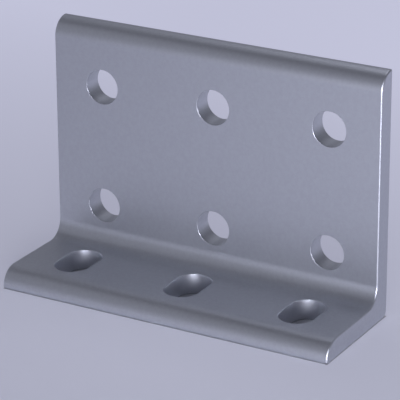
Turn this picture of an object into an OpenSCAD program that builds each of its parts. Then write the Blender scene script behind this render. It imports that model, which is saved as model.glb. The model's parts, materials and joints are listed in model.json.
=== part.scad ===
// Angle bracket, cut from one unequal-leg aluminium extrusion.
// The tall leg stands at the back with a grid of round bolt holes, and the short leg
// lies towards the front with a row of slots, one below each column of holes.
// Origin: middle of the bracket's outline in plan, on the underside of the short leg.
// +X runs along the extrusion, +Y towards the back face, +Z up. Sizes in millimetres.

/* [Bolt grid] */
// Columns of holes, each with its own slot in the short leg
columns = 3; // [1:1:8]
// Rows of holes in the tall leg
rows = 2; // [1:1:6]
// Distance between neighbouring holes, along the length and up the tall leg
pitch = 30; // [20:0.5:60]
// From the outer columns to the sawn ends
end_margin = 13; // [8:0.5:40]
// From the underside to the lowest row
base_margin = 15; // [14:0.5:60]
// From the highest row to the top of the tall leg
top_margin = 15; // [10:0.5:40]

/* [Section] */
// Thickness of both legs
wall = 5; // [2:0.25:8]
// Radius on the front of the tall leg's toe and on the top of the short leg's toe
toe_r = 4.5; // [0.5:0.25:7]
// Radius on the other side of each toe
tip_r = 0.5; // [0.2:0.05:0.9]
// Fillet in the inside corner
fillet_r = 4.5; // [1:0.25:8]
// Radius on the outside corner
heel_r = 2; // [0.75:0.25:5]

/* [Holes and slots] */
// Diameter of the round holes
hole_d = 8.5; // [4:0.1:14]
// Width of the slots
slot_w = 8.5; // [4:0.1:12]
// Length of the slots over their round ends
slot_len = 14; // [12:0.5:24]
// From the back face to the middle of the slots
slot_setback = 17; // [15:0.5:40]
// From the middle of the slots to the front of the short leg
slot_margin = 13; // [11:0.5:40]

/* [Edges] */
// Radius on the edges of both sawn ends
end_round = 0.5; // [0.1:0.05:1]
// Deburring chamfer on both rims of every hole and slot
rim_break = 0.3; // [0.05:0.05:0.6]

/* [Hidden] */
$fn = 96;
// Overall sizes, which follow from the bolt grid and its margins
length = (columns - 1) * pitch + 2 * end_margin;
tall_leg = base_margin + (rows - 1) * pitch + top_margin;
short_leg = slot_setback + slot_margin;
// The toe's two radii share the wall, and no end edge is rounded past them
tip = min(tip_r, wall / 4);
toe = min(toe_r, wall - tip);
heel = min(heel_r, wall);
edge = min(end_round, tip);
// Cutters run this far past the faces that they open
past = 1;
silver = [0.72, 0.73, 0.76];

// Places

// Centre of a column along the length
function column_x(i) = (i - (columns - 1) / 2) * pitch;

// Height of a row above the underside
function row_z(j) = base_margin + j * pitch;

// Section, with the outer corner of the heel at the origin: the tall leg runs up along
// +Y and the short leg is its mirror image, running along -X

module in_both_legs() {
    children(0);
    mirror([1, 1, 0]) children(1);
}

// One leg up to its toe, lying from x = -wall to x = 0
module leg_profile(leg) {
    difference() {
        translate([-wall, 0]) square([wall, leg]);
        corner_outside(toe, [-wall + toe, leg - toe], 90);
        corner_outside(tip, [-tip, leg - tip], 0);
    }
}

// What lies outside a round of radius r about c, in the quadrant that starts at angle from
module corner_outside(r, c, from) {
    translate(c) rotate(from) difference() {
        square(r + past);
        circle(r);
    }
}

module section() {
    inside = [-wall - fillet_r, wall + fillet_r];
    difference() {
        union() {
            in_both_legs() {
                leg_profile(tall_leg);
                leg_profile(short_leg);
            }
            difference() {
                translate([-wall - fillet_r, 0]) square(wall + fillet_r);
                translate(inside) circle(fillet_r);
            }
        }
        corner_outside(heel, [-heel, heel], 270);
    }
}

// Rounding of the sawn ends: cutters that follow the section's outline at the end plane

// Cross-section of the cutter, with the sharp edge at the origin and the metal below and
// to the left of it
module edge_cutter() {
    translate([-edge, -edge]) difference() {
        square(edge + past);
        circle(edge);
    }
}

// Along a straight face that starts at p and runs for len in the direction angle,
// with the metal on its left
module round_straight(p, angle, len) {
    if (len > 0)
        translate(p) rotate([0, 0, angle]) translate([len, 0, 0])
            rotate([90, 0, -90]) linear_extrude(len) edge_cutter();
}

// Round an outside corner of radius r about c, a quarter turn from the angle from
module round_outside(r, c, from) {
    translate(c) rotate([0, 0, from])
        rotate_extrude(angle = 90) translate([r, 0]) edge_cutter();
}

// Along the fillet, where the metal lies outside the arc
module round_fillet() {
    translate([-wall - fillet_r, wall + fillet_r]) rotate([0, 0, 270])
        rotate_extrude(angle = 90) translate([fillet_r, 0]) mirror([1, 0]) edge_cutter();
}

// Every face of one leg from the heel to the fillet
module round_leg(leg) {
    round_straight([0, heel], 90, leg - tip - heel);
    round_outside(tip, [-tip, leg - tip], 0);
    round_straight([-tip, leg], 180, wall - tip - toe);
    round_outside(toe, [-wall + toe, leg - toe], 90);
    round_straight([-wall, leg - toe], 270, leg - toe - wall - fillet_r);
}

module round_end() {
    in_both_legs() {
        round_leg(tall_leg);
        round_leg(short_leg);
    }
    round_outside(heel, [-heel, heel], 270);
    round_fillet();
}

// The extrusion cut to length, standing on its end with its middle at z = 0
module cut_length() {
    difference() {
        linear_extrude(length, center = true) section();
        for (end = [0, 1]) mirror([0, 0, end])
            translate([0, 0, length / 2]) round_end();
    }
}

// Holes and slots, cut downwards from z = 0 through the wall

// Deburring cone on the rim at z = 0, for a round of diameter d
module rim_cone(d) {
    translate([0, 0, -rim_break])
        cylinder(h = rim_break + past, r1 = d / 2, r2 = d / 2 + rim_break + past);
}

// The same break along a straight rim of length len, on both sides of a slot
module rim_wedge(d, len) {
    half = d / 2;
    rotate([90, 0, 0]) linear_extrude(len, center = true) polygon([
        [-half, -rim_break],
        [half, -rim_break],
        [half + rim_break + past, past],
        [-half - rim_break - past, past]
    ]);
}

module on_both_faces() {
    children();
    translate([0, 0, -wall]) mirror([0, 0, 1]) children();
}

module round_hole() {
    translate([0, 0, -wall - past]) cylinder(h = wall + 2 * past, d = hole_d);
    on_both_faces() rim_cone(hole_d);
}

// A slot along Y: its straight part, a round at each end and the broken rims
module slot() {
    straight = max(slot_len - slot_w, 0);
    translate([-slot_w / 2, -straight / 2, -wall - past])
        cube([slot_w, straight, wall + 2 * past]);
    for (side = [-1, 1]) translate([0, side * straight / 2, 0]) {
        translate([0, 0, -wall - past]) cylinder(h = wall + 2 * past, d = slot_w);
        on_both_faces() rim_cone(slot_w);
    }
    on_both_faces() rim_wedge(slot_w, straight);
}

// Sub-part

module bracket() {
    color(silver) difference() {
        translate([0, short_leg / 2, 0]) rotate([90, 0, 90]) cut_length();
        for (i = [0 : columns - 1]) {
            for (j = [0 : rows - 1])
                translate([column_x(i), short_leg / 2, row_z(j)]) rotate([-90, 0, 0]) round_hole();
            translate([column_x(i), short_leg / 2 - slot_setback, wall]) slot();
        }
    }
}

bracket();
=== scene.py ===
"""Angle bracket in satin anodised aluminium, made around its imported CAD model.

The file is laid out as an add-on and is run as a script. Lengths are in metres, in the CAD's frame:
+X runs along the extrusion, +Y towards its back face and +Z up, from the middle of its footprint.
"""

import json
import math

import bmesh
import bpy
from mathutils import Matrix, Vector


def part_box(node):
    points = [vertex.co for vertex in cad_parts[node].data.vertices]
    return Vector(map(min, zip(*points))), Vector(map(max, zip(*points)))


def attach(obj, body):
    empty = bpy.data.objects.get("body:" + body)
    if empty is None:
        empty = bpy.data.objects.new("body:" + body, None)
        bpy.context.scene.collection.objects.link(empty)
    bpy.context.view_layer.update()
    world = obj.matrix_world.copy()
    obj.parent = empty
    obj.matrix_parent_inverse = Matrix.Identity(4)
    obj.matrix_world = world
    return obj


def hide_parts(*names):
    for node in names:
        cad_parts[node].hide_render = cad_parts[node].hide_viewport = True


bl_info = {
    "name": "Angle Bracket",
    "version": (1, 0, 0),
    "blender": (4, 5, 0),
    "location": "View3D > Sidebar > Bracket",
    "description": "Builds a perforated aluminium angle bracket and a studio stage for it",
    "category": "Add Mesh",
}

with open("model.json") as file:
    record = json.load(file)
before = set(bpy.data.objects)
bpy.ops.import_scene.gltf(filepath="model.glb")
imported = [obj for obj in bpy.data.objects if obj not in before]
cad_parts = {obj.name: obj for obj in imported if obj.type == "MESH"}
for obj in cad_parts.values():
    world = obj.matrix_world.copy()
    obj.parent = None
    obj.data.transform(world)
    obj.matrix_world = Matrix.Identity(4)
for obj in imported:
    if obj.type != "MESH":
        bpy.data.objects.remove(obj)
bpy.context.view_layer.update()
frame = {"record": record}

MM = 0.001
NODE = "bracket"

# Points on each quarter turn of the section, holes and slots, and faces across a rounded edge
QUARTER_POINTS = 24
EDGE_FACES = 5
# Points nearer than this are one, and points this near to an end plane lie in it
WELD = 0.001 * MM
NEAR_END = 0.01 * MM
# Only the sawn ends and the rims turn by more than this
SHARP = math.radians(45)
# Camera's sensor, in millimetres
SENSOR_WIDTH = 36
# Places of a Mix node's sockets for two colours and their mix
FIRST_COLOUR = 6
SECOND_COLOUR = 7
MIXED_COLOUR = 2


def mount_sizes(name):
    """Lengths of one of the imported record's mounts, in metres, named without their unit's ending"""
    for mount in frame["record"]["mounts"]:
        if mount["name"] == name:
            return {
                key.removesuffix("_mm"): value * MM
                for key, value in mount["dims"].items() if key.endswith("_mm")
            }
    raise KeyError(f"the packed record has no mount named {name}")


def linear(hex_colour):
    """Linear red, green and blue of an sRGB colour such as #A0B0C0"""
    shares = [int(hex_colour[i:i + 2], 16) / 255 for i in (1, 3, 5)]
    return [s / 12.92 if s <= 0.04045 else ((s + 0.055) / 1.055) ** 2.4 for s in shares]


LOW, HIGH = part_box(NODE)
MIDDLE = (LOW + HIGH) / 2
HOLES = mount_sizes("tall_leg_corner_holes")
SLOTS = mount_sizes("short_leg_slot_middle")


def length_property(name, description, default):
    """A length in metres, shown in the scene's unit"""
    return bpy.props.FloatProperty(
        name=name, description=description, default=default, min=0, unit="LENGTH", precision=5
    )


def share_property(name, description, default):
    """A number from 0 to 1"""
    return bpy.props.FloatProperty(
        name=name, description=description, default=default, min=0, max=1, subtype="FACTOR"
    )


def angle_property(name, description, degrees):
    """An angle, shown in degrees"""
    return bpy.props.FloatProperty(
        name=name, description=description, default=math.radians(degrees), subtype="ANGLE"
    )


def colour_property(name, description, hex_colour):
    """A colour, shown as a swatch"""
    return bpy.props.FloatVectorProperty(
        name=name, description=description, default=linear(hex_colour), min=0, max=1, subtype="COLOR"
    )


class BracketSizes(bpy.types.PropertyGroup):
    """Sizes of the bracket. Each is an input of the bracket's node tree, under the same name"""

    length: length_property("Length", "Along the extrusion", HIGH.x - LOW.x)
    tall_leg: length_property("Tall leg", "Height over the tall leg", HIGH.z - LOW.z)
    short_leg: length_property("Short leg", "Depth over the short leg", HIGH.y - LOW.y)
    wall: length_property("Wall", "Thickness of both legs", 5 * MM)
    toe_radius: length_property("Toe radius", "Front of the tall toe and top of the short one", 4.5 * MM)
    tip_radius: length_property("Tip radius", "Other side of each toe", 0.5 * MM)
    fillet_radius: length_property("Fillet radius", "Inside corner", 4.5 * MM)
    heel_radius: length_property("Heel radius", "Outside corner", 2 * MM)
    hole_radius: length_property("Hole radius", "Round holes in the tall leg", HOLES["hole_r"])
    pitch: length_property("Pitch", "Between neighbouring holes", HOLES["spacing_y"])
    base_margin: length_property("Base margin", "From the underside to the lowest row", 15 * MM)
    slot_radius: length_property("Slot radius", "Round ends of the slots", SLOTS["hole_r"])
    slot_length: length_property("Slot length", "Over the round ends", SLOTS["slot_length"])
    slot_setback: length_property("Slot setback", "From the back face to the slots' middle", 17 * MM)
    end_round: length_property("End round", "Rounding on the edges of both sawn ends", 0.45 * MM)
    rim_round: length_property("Rim round", "Rounding on the rims of the holes and slots", 0.1 * MM)
    columns: bpy.props.IntProperty(name="Columns", description="Columns of holes", default=3, min=1)
    rows: bpy.props.IntProperty(name="Rows", description="Rows of holes", default=2, min=1)


class BracketFinish(bpy.types.PropertyGroup):
    """Colours and grain of the anodised surface"""

    metal: colour_property("Metal", "Colour of the anodised face", "#C9CCD1")
    mottle: colour_property("Mottle", "Colour of the darker specks", "#C5C7CD")
    roughness: share_property("Roughness", "Of the satin face", 0.44)
    unevenness: share_property("Unevenness", "Roughness that the mottle adds or takes off", 0.01)
    # Paler colour of the slots' walls: a painted highlight that brightens the key light's sheen there
    milled_painted_sheen: colour_property("Milled", "Colour of the slots' walls", "#E6E8EE")
    milled_roughness: share_property("Milled roughness", "Of the slots' walls", 0.42)
    grain: length_property("Grain", "Width of the etched grain", 0.7 * MM)
    grain_height: length_property("Grain height", "Height of the etched grain", 0.009 * MM)
    speck: length_property("Speck", "Width of the mottle's specks", 0.8 * MM)
    streak: length_property("Streak", "Distance between the faint die lines", 0.9 * MM)
    streak_height: length_property("Streak height", "Height of the faint die lines", 0.003 * MM)
    streak_stretch: bpy.props.FloatProperty(
        name="Streak stretch", description="Length of a die line over its width", default=50, min=1
    )


class StageSettings(bpy.types.PropertyGroup):
    """Floor, light and camera"""

    floor: colour_property("Floor", "Colour of the paper sweep", "#BABBBF")
    floor_reach: length_property("Floor reach", "From the origin to the floor's edges", 3.0)
    backdrop: colour_property("Backdrop", "Colour that the paper shows in any light", "#B3B4CA")
    near_glow: share_property("Near glow", "Strength of the backdrop's colour at the bracket", 0.5)
    far_glow: share_property("Far glow", "Strength of the backdrop's colour at the glow's depth", 0.88)
    glow_depth: length_property("Glow depth", "From the origin back to where the far glow begins", 0.18)
    horizon: colour_property("Horizon", "Colour of the surroundings level with the floor", "#A6A8B6")
    overhead: colour_property("Overhead", "Colour of the surroundings straight above", "#34343B")
    lamps: colour_property("Lamps", "Colour of the lamps' light", "#EEF0FF")
    azimuth: angle_property("Azimuth", "Camera's turn from the front towards +X", 29.904)
    elevation: angle_property("Elevation", "Camera's height above the floor", 21.639)
    roll: angle_property("Roll", "Camera's turn about its own axis", -0.278)
    distance: length_property("Distance", "From the camera to the origin, along its axis", 0.56824)
    right: length_property("Right", "From the origin across to the camera's axis", 1.818 * MM)
    above: length_property("Above", "From the origin up to the camera's axis", 23.829 * MM)
    lens: bpy.props.FloatProperty(
        name="Lens", description=f"Focal length on a {SENSOR_WIDTH} mm sensor, in millimetres",
        default=219.02, min=1, subtype="DISTANCE_CAMERA",
    )


def add(tree, kind, settings=None, inputs=None, out=0):
    """Adds a node, with its settings and with its inputs set or linked, and returns one of its outputs"""
    node = tree.nodes.new(kind)
    for name, value in (settings or {}).items():
        setattr(node, name, value)
    for key, value in (inputs or {}).items():
        for source in value if isinstance(value, list) else [value]:
            if isinstance(source, bpy.types.NodeSocket):
                tree.links.new(source, node.inputs[key])
            else:
                node.inputs[key].default_value = source
    return node.outputs[out] if node.outputs else node


def size_properties():
    """The sizes that the node tree takes, in their order"""
    return [p for p in BracketSizes.bl_rna.properties if p.identifier in BracketSizes.__annotations__]


def swept(tree, profile, depth):
    """A closed profile in the XY plane, drawn up along +Z and capped at both ends"""
    path = add(tree, "GeometryNodeCurvePrimitiveLine", {"mode": "DIRECTION"}, {
        "Start": (0, 0, 0), "Direction": (0, 0, 1), "Length": depth,
    })
    body = add(tree, "GeometryNodeCurveToMesh", inputs={
        "Curve": path, "Profile Curve": profile, "Fill Caps": True,
    })
    return add(tree, "GeometryNodeMergeByDistance", inputs={"Geometry": body, "Distance": WELD})


def section(tree, size, half_depth):
    """The angle's section in its own XY plane, where X is the bracket's +Y and Y is its +Z"""
    front = add(tree, "ShaderNodeMath", {"operation": "SUBTRACT"}, {0: half_depth, 1: size["Wall"]})
    toe = add(tree, "ShaderNodeMath", {"operation": "MULTIPLY"}, {0: half_depth, 1: -1.0})
    corners = [
        (half_depth, 0.0, size["Heel radius"]),
        (half_depth, size["Tall leg"], size["Tip radius"]),
        (front, size["Tall leg"], size["Toe radius"]),
        (front, size["Wall"], size["Fillet radius"]),
        (toe, size["Wall"], size["Toe radius"]),
        (toe, 0.0, size["Tip radius"]),
    ]
    index = add(tree, "GeometryNodeInputIndex")
    place = tree.nodes.new("GeometryNodeIndexSwitch")
    place.data_type = "VECTOR"
    radius = tree.nodes.new("GeometryNodeIndexSwitch")
    radius.data_type = "FLOAT"
    for switch in (place, radius):
        while len(switch.index_switch_items) < len(corners):
            switch.index_switch_items.new()
        tree.links.new(index, switch.inputs["Index"])
    for socket, (x, y, r) in enumerate(corners, start=1):
        point = add(tree, "ShaderNodeCombineXYZ", inputs={"X": x, "Y": y})
        tree.links.new(point, place.inputs[socket])
        tree.links.new(r, radius.inputs[socket])
    ring = add(tree, "GeometryNodeCurvePrimitiveCircle", inputs={"Resolution": len(corners)})
    outline = add(tree, "GeometryNodeSetPosition", inputs={
        "Geometry": ring, "Position": place.outputs[0],
    })
    return add(tree, "GeometryNodeFilletCurve", {"mode": "POLY"}, {
        "Curve": outline, "Count": QUARTER_POINTS, "Radius": radius.outputs[0],
    })


def drills(tree, size, half_depth, width, depth):
    """A cylinder of that depth through each round hole, on a grid of that width"""
    last_row = add(tree, "ShaderNodeMath", {"operation": "SUBTRACT"}, {0: size["Rows"], 1: 1.0})
    height = add(tree, "ShaderNodeMath", {"operation": "MULTIPLY"}, {0: last_row, 1: size["Pitch"]})
    grid = add(tree, "GeometryNodeMeshGrid", inputs={
        "Size X": width, "Size Y": height, "Vertices X": size["Columns"], "Vertices Y": size["Rows"],
    })
    drill = add(tree, "GeometryNodeMeshCylinder", inputs={
        "Vertices": 4 * QUARTER_POINTS, "Radius": size["Hole radius"], "Depth": depth,
    })
    half_wall = add(tree, "ShaderNodeMath", {"operation": "MULTIPLY"}, {0: size["Wall"], 1: 0.5})
    leg_middle = add(tree, "ShaderNodeMath", {"operation": "SUBTRACT"}, {0: half_depth, 1: half_wall})
    grid_middle = add(tree, "ShaderNodeMath", {"operation": "MULTIPLY_ADD"}, {
        0: height, 1: 0.5, 2: size["Base margin"],
    })
    return add(tree, "GeometryNodeTransform", inputs={
        "Geometry": add(tree, "GeometryNodeInstanceOnPoints", inputs={"Points": grid, "Instance": drill}),
        "Translation": add(tree, "ShaderNodeCombineXYZ", inputs={"Y": leg_middle, "Z": grid_middle}),
        "Rotation": (math.pi / 2, 0, 0),
    })


def mills(tree, size, half_depth, width, depth):
    """An oblong of that depth through each slot, in a row of that width"""
    slot_width = add(tree, "ShaderNodeMath", {"operation": "MULTIPLY"}, {0: size["Slot radius"], 1: 2.0})
    oblong = add(tree, "GeometryNodeCurvePrimitiveQuadrilateral", inputs={
        "Width": slot_width, "Height": size["Slot length"],
    })
    oblong = add(tree, "GeometryNodeFilletCurve", {"mode": "POLY"}, {
        "Curve": oblong, "Count": QUARTER_POINTS, "Radius": size["Slot radius"],
    })
    row = add(tree, "GeometryNodeMeshGrid", inputs={
        "Size X": width, "Size Y": 0.0, "Vertices X": size["Columns"], "Vertices Y": 1,
    })
    mill = swept(tree, oblong, depth)
    slot_y = add(tree, "ShaderNodeMath", {"operation": "SUBTRACT"}, {
        0: half_depth, 1: size["Slot setback"],
    })
    below = add(tree, "ShaderNodeMath", {"operation": "MULTIPLY"}, {0: size["Wall"], 1: -1.0})
    return add(tree, "GeometryNodeTransform", inputs={
        "Geometry": add(tree, "GeometryNodeInstanceOnPoints", inputs={"Points": row, "Instance": mill}),
        "Translation": add(tree, "ShaderNodeCombineXYZ", inputs={"Y": slot_y, "Z": below}),
    })


def weighted_edges(tree, size, pierced, half_length):
    """Bevel weights on the sharp edges: full on the sawn ends, and the rims' share of that elsewhere"""
    sharp = add(tree, "ShaderNodeMath", {"operation": "GREATER_THAN"}, {
        0: add(tree, "GeometryNodeInputMeshEdgeAngle"), 1: SHARP,
    })
    place = add(tree, "ShaderNodeSeparateXYZ", inputs={"Vector": add(tree, "GeometryNodeInputPosition")})
    reach = add(tree, "ShaderNodeMath", {"operation": "ABSOLUTE"}, {0: place})
    inset = add(tree, "ShaderNodeMath", {"operation": "SUBTRACT"}, {0: half_length, 1: NEAR_END})
    at_end = add(tree, "ShaderNodeMath", {"operation": "GREATER_THAN"}, {0: reach, 1: inset})
    share = add(tree, "ShaderNodeMath", {"operation": "DIVIDE"}, {
        0: size["Rim round"], 1: size["End round"],
    })
    weight = add(tree, "ShaderNodeMath", {"operation": "MAXIMUM"}, {0: at_end, 1: share})
    return add(tree, "GeometryNodeStoreNamedAttribute", {"data_type": "FLOAT", "domain": "EDGE"}, {
        "Geometry": pierced, "Selection": sharp, "Name": "bevel_weight_edge", "Value": weight,
    })


def bracket_tree():
    """Node tree that draws the section, extrudes it and takes out the holes and slots"""
    tree = bpy.data.node_groups.new("Perforated angle", "GeometryNodeTree")
    tree.interface.new_socket("Geometry", in_out="INPUT", socket_type="NodeSocketGeometry")
    for prop in size_properties():
        kind = "NodeSocketInt" if prop.type == "INT" else "NodeSocketFloat"
        tree.interface.new_socket(prop.name, in_out="INPUT", socket_type=kind)
    tree.interface.new_socket("Finish", in_out="INPUT", socket_type="NodeSocketMaterial")
    tree.interface.new_socket("Geometry", in_out="OUTPUT", socket_type="NodeSocketGeometry")
    size = tree.nodes.new("NodeGroupInput").outputs

    half_depth = add(tree, "ShaderNodeMath", {"operation": "MULTIPLY"}, {0: size["Short leg"], 1: 0.5})
    half_length = add(tree, "ShaderNodeMath", {"operation": "MULTIPLY"}, {0: size["Length"], 1: 0.5})
    start = add(tree, "ShaderNodeMath", {"operation": "MULTIPLY"}, {0: half_length, 1: -1.0})
    solid = add(tree, "GeometryNodeTransform", inputs={
        "Geometry": swept(tree, section(tree, size, half_depth), size["Length"]),
        "Translation": add(tree, "ShaderNodeCombineXYZ", inputs={"X": start}),
        "Rotation": (math.pi / 2, 0, math.pi / 2),
    })

    last_column = add(tree, "ShaderNodeMath", {"operation": "SUBTRACT"}, {0: size["Columns"], 1: 1.0})
    width = add(tree, "ShaderNodeMath", {"operation": "MULTIPLY"}, {0: last_column, 1: size["Pitch"]})
    # Cutters reach one wall past each face that they open
    depth = add(tree, "ShaderNodeMath", {"operation": "MULTIPLY"}, {0: size["Wall"], 1: 3.0})
    cutters = add(tree, "GeometryNodeJoinGeometry", inputs={"Geometry": [
        drills(tree, size, half_depth, width, depth),
        mills(tree, size, half_depth, width, depth),
    ]})
    pierced = add(tree, "GeometryNodeMeshBoolean", {"operation": "DIFFERENCE", "solver": "EXACT"}, {
        "Mesh 1": solid,
        "Mesh 2": add(tree, "GeometryNodeRealizeInstances", inputs={"Geometry": cutters}),
    })

    weighted = weighted_edges(tree, size, pierced, half_length)
    smooth = add(tree, "GeometryNodeSetShadeSmooth", inputs={"Geometry": weighted})
    whole = add(tree, "GeometryNodeRealizeInstances", inputs={"Geometry": smooth})
    dressed = add(tree, "GeometryNodeSetMaterial", inputs={"Geometry": whole, "Material": size["Finish"]})
    add(tree, "NodeGroupOutput", inputs={"Geometry": dressed})
    return tree


def slot_walls(tree, place, sizes):
    """Mask of the slots' walls, the only faces in a box from rim to rim and nearly from end to end"""
    axes = tree.nodes.new("ShaderNodeSeparateXYZ")
    tree.links.new(place, axes.inputs[0])
    mask = 1.0
    for axis, middle, reach in (
        ("X", 0.0, sizes.length / 2 - sizes.end_round),
        ("Y", sizes.short_leg / 2 - sizes.slot_setback, sizes.slot_length / 2 + sizes.rim_round),
        ("Z", sizes.wall / 2, sizes.wall / 2 - 2 * sizes.rim_round),
    ):
        inside = add(tree, "ShaderNodeMath", {"operation": "COMPARE"}, {
            0: axes.outputs[axis], 1: middle, 2: reach,
        })
        mask = add(tree, "ShaderNodeMath", {"operation": "MULTIPLY"}, {0: inside, 1: mask})
    return mask


def anodised_aluminium(finish, sizes):
    """Extruded aluminium, etched and anodised clear: a satin grey metal with a fine grain.

    The etch gives it a soft, wide highlight that breaks up into grain where light turns to shade, and
    the die leaves faint lines along the extrusion. Both are finer on the real metal than the render
    can show, so they are drawn as coarse as they need to be. The slots' walls were cut by a mill, and
    they are drawn paler than the rest: a painted highlight that brightens the key light's sheen in them.
    """
    material = bpy.data.materials.new("satin_anodised_aluminium")
    material.use_nodes = True
    tree = material.node_tree
    tree.nodes.clear()
    place = add(tree, "ShaderNodeTexCoord", out="Object")
    grain = add(tree, "ShaderNodeTexNoise", inputs={
        "Vector": place, "Scale": 1 / finish.grain, "Detail": 3.0, "Roughness": 0.6,
    })
    speck = add(tree, "ShaderNodeTexNoise", inputs={
        "Vector": place, "Scale": 1 / finish.speck, "Detail": 4.0, "Roughness": 0.65,
    })
    drawn = add(tree, "ShaderNodeMapping", inputs={
        "Vector": place, "Scale": (1 / finish.streak_stretch, 1, 1),
    })
    streak = add(tree, "ShaderNodeTexNoise", inputs={
        "Vector": drawn, "Scale": 1 / finish.streak, "Detail": 3.0, "Roughness": 0.6,
    })
    # The noise runs from about 0.3 to 0.7, and the colours change over in its middle
    shade = add(tree, "ShaderNodeMapRange", inputs={
        "Value": speck, "From Min": 0.38, "From Max": 0.62, "To Min": 0.0, "To Max": 1.0,
    })
    anodised = add(tree, "ShaderNodeMix", {"data_type": "RGBA"}, {
        "Factor": shade, FIRST_COLOUR: (*finish.mottle, 1), SECOND_COLOUR: (*finish.metal, 1),
    }, out=MIXED_COLOUR)
    satin = add(tree, "ShaderNodeMapRange", inputs={
        "Value": speck, "From Min": 0.3, "From Max": 0.7,
        "To Min": finish.roughness + finish.unevenness, "To Max": finish.roughness - finish.unevenness,
    })
    # Mask of the slots' walls, which take the paler colour of the painted highlight
    milled_painted_sheen = slot_walls(tree, place, sizes)
    colour = add(tree, "ShaderNodeMix", {"data_type": "RGBA"}, {
        "Factor": milled_painted_sheen, FIRST_COLOUR: anodised, SECOND_COLOUR: (*finish.milled_painted_sheen, 1),
    }, out=MIXED_COLOUR)
    gloss = add(tree, "ShaderNodeMix", inputs={
        "Factor": milled_painted_sheen, "A": satin, "B": finish.milled_roughness,
    })
    etched = add(tree, "ShaderNodeBump", inputs={
        "Height": grain, "Strength": 1.0, "Distance": finish.grain_height,
    })
    lined = add(tree, "ShaderNodeBump", inputs={
        "Height": streak, "Strength": 1.0, "Distance": finish.streak_height, "Normal": etched,
    })
    surface = add(tree, "ShaderNodeBsdfPrincipled", inputs={
        "Base Color": colour, "Metallic": 1.0, "Roughness": gloss, "Normal": lined,
    })
    add(tree, "ShaderNodeOutputMaterial", inputs={"Surface": surface})
    return material


def plain_paper(settings):
    """Matt paper sweep: no gloss and no pattern.

    To the camera and in reflections it shows some of the backdrop's colour in any light, and more of
    it towards the back. That keeps the backdrop pale with no more light on the paper, and so leaves
    the bracket's shadow.
    """
    material = bpy.data.materials.new("pale_paper")
    material.use_nodes = True
    tree = material.node_tree
    tree.nodes.clear()
    ray = tree.nodes.new("ShaderNodeLightPath").outputs
    mirrored = add(tree, "ShaderNodeMath", {"operation": "MAXIMUM"}, {
        0: ray["Is Glossy Ray"], 1: ray["Is Transmission Ray"],
    })
    seen = add(tree, "ShaderNodeMath", {"operation": "MAXIMUM"}, {0: ray["Is Camera Ray"], 1: mirrored})
    place = tree.nodes.new("ShaderNodeSeparateXYZ")
    tree.links.new(add(tree, "ShaderNodeTexCoord", out="Object"), place.inputs[0])
    glow = add(tree, "ShaderNodeMapRange", inputs={
        "Value": place.outputs["Y"], "From Min": 0.0, "From Max": settings.glow_depth,
        "To Min": settings.near_glow, "To Max": settings.far_glow,
    })
    # None of it shows below the bracket's footprint: painted shade where the paper lies in the bracket's
    # shade
    past_end = add(tree, "ShaderNodeMath", {"operation": "ABSOLUTE"}, {0: place.outputs["X"]})
    past_end = add(tree, "ShaderNodeMath", {"operation": "GREATER_THAN"}, {0: past_end, 1: HIGH.x})
    past_face = add(tree, "ShaderNodeMath", {"operation": "ABSOLUTE"}, {0: place.outputs["Y"]})
    past_face = add(tree, "ShaderNodeMath", {"operation": "GREATER_THAN"}, {0: past_face, 1: HIGH.y})
    clear = add(tree, "ShaderNodeMath", {"operation": "MAXIMUM"}, {0: past_end, 1: past_face})
    shown = add(tree, "ShaderNodeMath", {"operation": "MULTIPLY"}, {0: seen, 1: clear})
    strength = add(tree, "ShaderNodeMath", {"operation": "MULTIPLY"}, {0: shown, 1: glow})
    shine = add(tree, "ShaderNodeEmission", inputs={
        "Color": (*settings.backdrop, 1), "Strength": strength,
    })
    matt = add(tree, "ShaderNodeBsdfDiffuse", inputs={
        "Color": (*settings.floor, 1), "Roughness": 0.0,
    })
    surface = add(tree, "ShaderNodeAddShader", inputs={0: matt, 1: shine})
    add(tree, "ShaderNodeOutputMaterial", inputs={"Surface": surface})
    return material


def light_tent(horizon, overhead):
    """World like a light tent, pale up to the horizon and darker towards the top"""
    world = bpy.data.worlds.new("light_tent")
    world.use_nodes = True
    tree = world.node_tree
    tree.nodes.clear()
    way = add(tree, "ShaderNodeTexCoord", out="Generated")
    up = add(tree, "ShaderNodeSeparateXYZ", inputs={"Vector": way}, out="Z")
    lowness = add(tree, "ShaderNodeMath", {"operation": "SUBTRACT", "use_clamp": True}, {0: 1.0, 1: up})
    share = add(tree, "ShaderNodeMath", {"operation": "POWER"}, {0: lowness, 1: 2.0})
    colour = add(tree, "ShaderNodeMix", {"data_type": "RGBA"}, {
        "Factor": share, FIRST_COLOUR: (*overhead, 1), SECOND_COLOUR: (*horizon, 1),
    }, out=MIXED_COLOUR)
    light = add(tree, "ShaderNodeBackground", inputs={"Color": colour, "Strength": 1.0})
    add(tree, "ShaderNodeOutputWorld", inputs={"Surface": light})
    return world


def link(name, data):
    """A new object of that data in the scene"""
    made = bpy.data.objects.new(name, data)
    bpy.context.scene.collection.objects.link(made)
    return made


def finished_mesh(builder, name):
    """The evaluated mesh of a builder object, which is removed"""
    depsgraph = bpy.context.evaluated_depsgraph_get()
    mesh = bpy.data.meshes.new_from_object(
        builder.evaluated_get(depsgraph), preserve_all_data_layers=True, depsgraph=depsgraph
    )
    mesh.name = name
    builder.modifiers.clear()
    bpy.data.objects.remove(builder)
    return mesh


def check_closed(mesh):
    """Raises an error unless every edge joins two faces and the faces point outwards"""
    shell = bmesh.new()
    shell.from_mesh(mesh)
    open_edges = sum(1 for edge in shell.edges if not edge.is_manifold)
    volume = shell.calc_volume(signed=True)
    shell.free()
    if open_edges or volume <= 0:
        raise RuntimeError(f"{mesh.name}: {open_edges} open edges, volume {volume:.3g} cubic metres")


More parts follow.
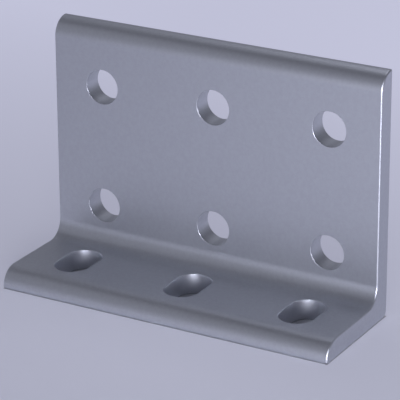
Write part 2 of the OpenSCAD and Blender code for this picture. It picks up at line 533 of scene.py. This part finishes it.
class BRACKET_OT_build_body(bpy.types.Operator):
    """Extrude the bracket, drill its holes and slots and round its edges"""

    bl_idname = "bracket.build_body"
    bl_label = "Build the bracket"

    def execute(self, context):
        sizes = context.scene.bracket_sizes
        tree = bracket_tree()
        values = {prop.name: getattr(sizes, prop.identifier) for prop in size_properties()}
        values["Finish"] = anodised_aluminium(context.scene.bracket_finish, sizes)
        builder = link("bracket_builder", bpy.data.meshes.new("bracket_builder"))
        perforated = builder.modifiers.new("Perforated angle", "NODES")
        perforated.node_group = tree
        for item in tree.interface.items_tree:
            if item.in_out == "INPUT" and item.name in values:
                perforated[item.identifier] = values[item.name]
        rounded = builder.modifiers.new("Broken edges", "BEVEL")
        rounded.limit_method = "WEIGHT"
        rounded.width = sizes.end_round
        rounded.segments = EDGE_FACES
        rounded.use_clamp_overlap = False
        builder.modifiers.new("Flat faces stay flat", "WEIGHTED_NORMAL").weight = 100
        mesh = finished_mesh(builder, "bracket_body")
        check_closed(mesh)
        body = link("bracket_body", mesh)
        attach(body, "root")
        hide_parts(NODE)
        return {"FINISHED"}


def direction(azimuth, elevation):
    """Unit vector, turned from the front towards +X and raised above the floor, by angles in radians"""
    level = math.cos(elevation)
    return Vector((math.sin(azimuth) * level, -math.cos(azimuth) * level, math.sin(elevation)))


def soft_box(name, colour, watts, azimuth, elevation, distance, size, spread=180, target=MIDDLE):
    """A rectangular area lamp, turned towards a target near the bracket.

    It hangs at a distance from the target, by an azimuth from the front towards +X and an elevation.
    The angles, the spread among them, are in degrees.
    """
    lamp = bpy.data.lights.new(name, "AREA")
    lamp.shape = "RECTANGLE"
    lamp.size, lamp.size_y = size
    lamp.energy = watts
    lamp.color = colour
    lamp.spread = math.radians(spread)
    way = direction(math.radians(azimuth), math.radians(elevation))
    place = Vector(target) + distance * way
    turn = way.to_track_quat("Z", "Y")
    link(name, lamp).matrix_world = Matrix.Translation(place) @ turn.to_matrix().to_4x4()


def camera_matrix(settings):
    """Matrix of the camera, from its turn, height, roll and distance"""
    back = direction(settings.azimuth, settings.elevation)
    right = Vector((math.cos(settings.azimuth), math.sin(settings.azimuth), 0))
    up = back.cross(right)
    cos, sin = math.cos(settings.roll), math.sin(settings.roll)
    right, up = cos * right + sin * up, cos * up - sin * right
    middle = settings.right * right + settings.above * up
    turned = Matrix((right, up, back)).transposed().to_4x4()
    return Matrix.Translation(middle + settings.distance * back) @ turned


class BRACKET_OT_build_stage(bpy.types.Operator):
    """Lay the floor, hang the lamps and place the camera"""

    bl_idname = "bracket.build_stage"
    bl_label = "Build the stage"

    def execute(self, context):
        scene = context.scene
        settings = scene.bracket_stage
        reach = settings.floor_reach
        sweep = bpy.data.meshes.new("floor")
        corners = [(-reach, -reach, 0), (reach, -reach, 0), (reach, reach, 0), (-reach, reach, 0)]
        sweep.from_pydata(corners, [], [(0, 1, 2, 3)])
        sweep.materials.append(plain_paper(settings))
        link("floor", sweep)

        scene.world = light_tent(settings.horizon, settings.overhead)
        # The key hangs low and near, so it is kept to a narrow cone on the right of the tall leg
        soft_box("key", settings.lamps, watts=0.225, azimuth=28, elevation=3, distance=0.42,
                 size=(0.26, 0.12), spread=46, target=(0.04, 0, 0.055))
        soft_box("fill", settings.lamps, watts=0.42, azimuth=-60, elevation=40, distance=1.0,
                 size=(0.7, 0.6))
        soft_box("rear", settings.lamps, watts=1.55, azimuth=180, elevation=65, distance=1.0,
                 size=(0.6, 0.5))
        soft_box("back", settings.lamps, watts=0.27, azimuth=-130, elevation=52, distance=1.0,
                 size=(0.8, 0.8))

        camera = bpy.data.cameras.new("camera")
        camera.lens = settings.lens
        camera.sensor_width = SENSOR_WIDTH
        camera.clip_start = 0.05
        view = link("camera", camera)
        view.matrix_world = camera_matrix(settings)
        scene.camera = view
        scene.view_settings.view_transform = "Standard"
        return {"FINISHED"}


class BRACKET_PT_sidebar(bpy.types.Panel):
    """Sizes, finish and stage of the bracket, with the operators that build them"""

    bl_label = "Angle bracket"
    bl_space_type = "VIEW_3D"
    bl_region_type = "UI"
    bl_category = "Bracket"

    def draw(self, context):
        for group, operator in (
            (context.scene.bracket_sizes, None),
            (context.scene.bracket_finish, BRACKET_OT_build_body),
            (context.scene.bracket_stage, BRACKET_OT_build_stage),
        ):
            box = self.layout.box()
            for name in type(group).__annotations__:
                box.prop(group, name)
            if operator:
                box.operator(operator.bl_idname)


CLASSES = (
    BracketSizes,
    BracketFinish,
    StageSettings,
    BRACKET_OT_build_body,
    BRACKET_OT_build_stage,
    BRACKET_PT_sidebar,
)


def register():
    for cls in CLASSES:
        bpy.utils.register_class(cls)
    bpy.types.Scene.bracket_sizes = bpy.props.PointerProperty(type=BracketSizes)
    bpy.types.Scene.bracket_finish = bpy.props.PointerProperty(type=BracketFinish)
    bpy.types.Scene.bracket_stage = bpy.props.PointerProperty(type=StageSettings)


def unregister():
    del bpy.types.Scene.bracket_stage
    del bpy.types.Scene.bracket_finish
    del bpy.types.Scene.bracket_sizes
    for cls in reversed(CLASSES):
        bpy.utils.unregister_class(cls)


def main():
    register()
    bpy.ops.bracket.build_body()
    bpy.ops.bracket.build_stage()


if __name__ == "__main__":
    main()
